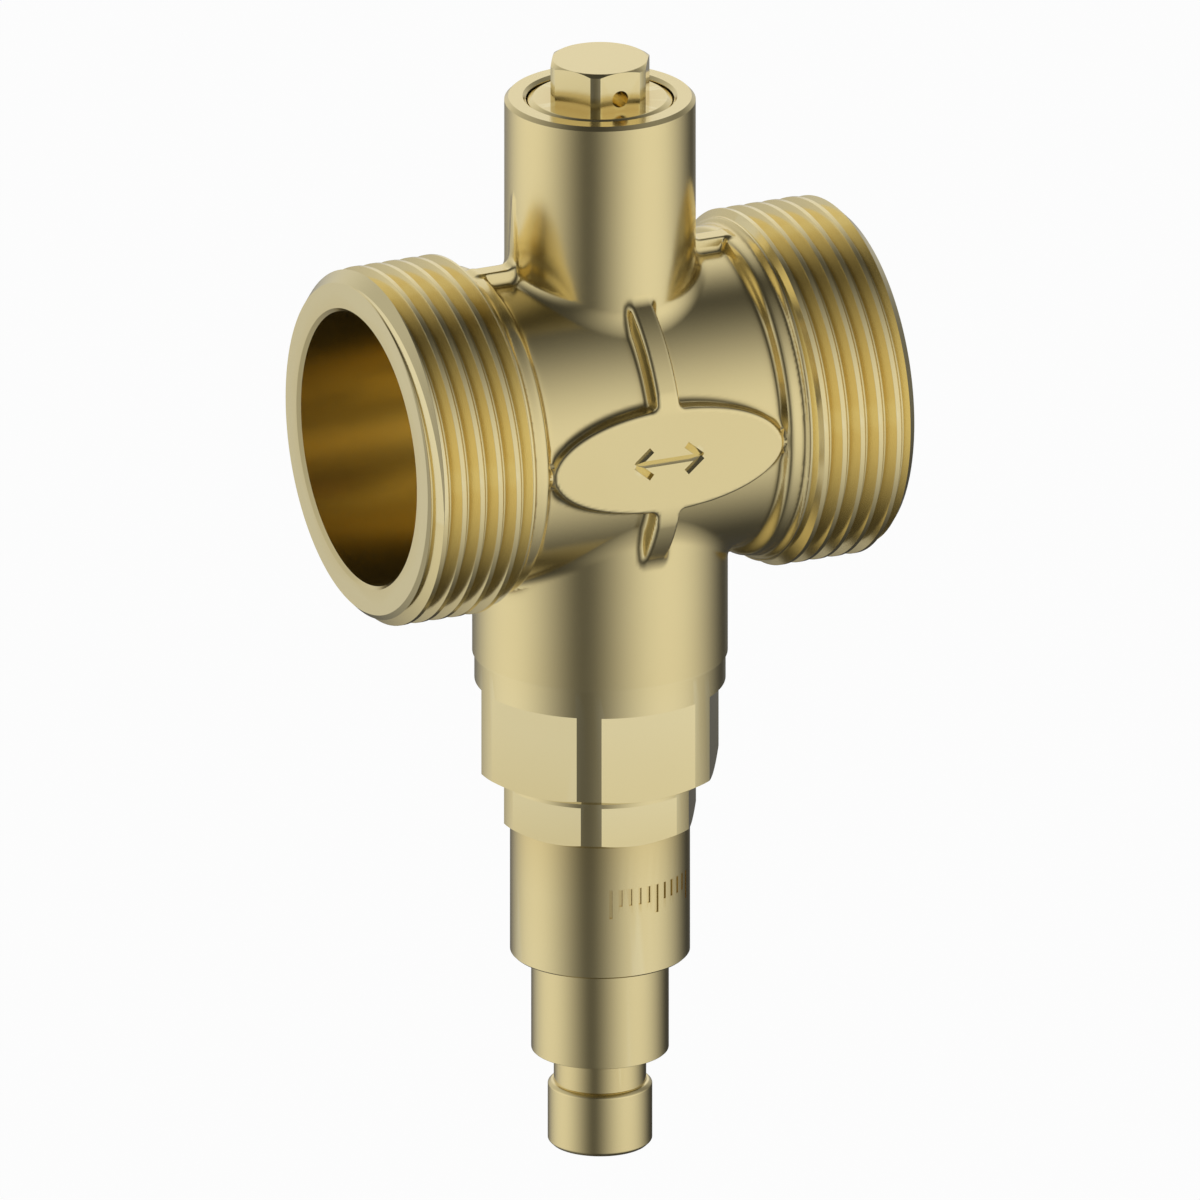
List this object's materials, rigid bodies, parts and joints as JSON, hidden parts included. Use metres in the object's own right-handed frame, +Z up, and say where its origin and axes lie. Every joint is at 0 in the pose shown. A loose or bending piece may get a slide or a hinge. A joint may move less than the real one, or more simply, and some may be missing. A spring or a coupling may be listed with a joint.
{
  "type": "anti-freeze valve",
  "caption": "Brass anti-freeze valve for a water pipe: a straight run with male threads, a vacuum breaker plug on top and a thermostatic drain cartridge below.",
  "frame": {"origin": "where the run's axis crosses the stem axis of the vent plug and cartridge, at the middle of the run bore", "axes": "+X along the run, +Z up the stem towards the vent plug, -Y out of the front pad"},
  "size_m": [0.0622, 0.042, 0.1331],
  "materials": {
    "forged_brass": "satin, blasted and plated",
    "turned_brass": "satin turned",
    "inner_brass": "machined",
    "seal_rubber": "matt",
    "spring_steel": "drawn wire and strip",
    "capsule_copper": "drawn copper alloy"
  },
  "bodies": {
    "valve": {"valve_body": "forged_brass", "vent_plug": "turned_brass", "vent_plug_seal": "seal_rubber", "vent_spring": "spring_steel", "vent_spring_retainer": "spring_steel", "cartridge_housing": "turned_brass", "cartridge_seal": "seal_rubber", "capsule_carrier": "inner_brass", "overtravel_spring": "spring_steel", "spring_plate": "inner_brass", "spring_plate_snap_ring": "spring_steel", "return_spring": "spring_steel", "seat_ring": "inner_brass", "lower_housing": "turned_brass", "lower_housing_seal": "seal_rubber", "outlet_nozzle": "turned_brass", "outlet_nozzle_seal": "seal_rubber"},
    "vent_poppet": {"vent_poppet": "inner_brass", "vent_poppet_seal": "seal_rubber"},
    "wax_capsule": {"wax_capsule": "capsule_copper"},
    "drain_plunger": {"obturator": "inner_brass", "drain_seal": "seal_rubber", "capsule_piston": "spring_steel"}
  },
  "joints": [
    {"name": "vent_poppet_slide", "type": "slide", "parent": "valve", "child": "vent_poppet", "axis": [0, 0, -1], "range_m": [0, 0.0015], "stiffness_N_per_m": 60, "springref_m": -0.003, "deforming": ["vent_spring"]},
    {"name": "capsule_overtravel", "type": "slide", "parent": "valve", "child": "wax_capsule", "axis": [0, 0, 1], "range_m": [0, 0.0025], "stiffness_N_per_m": 3000, "springref_m": -0.004, "deforming": ["overtravel_spring"]},
    {"name": "drain_plunger_slide", "type": "slide", "parent": "valve", "child": "drain_plunger", "axis": [0, 0, 1], "range_m": [0, 0.002], "deforming": ["return_spring"]}
  ]
}
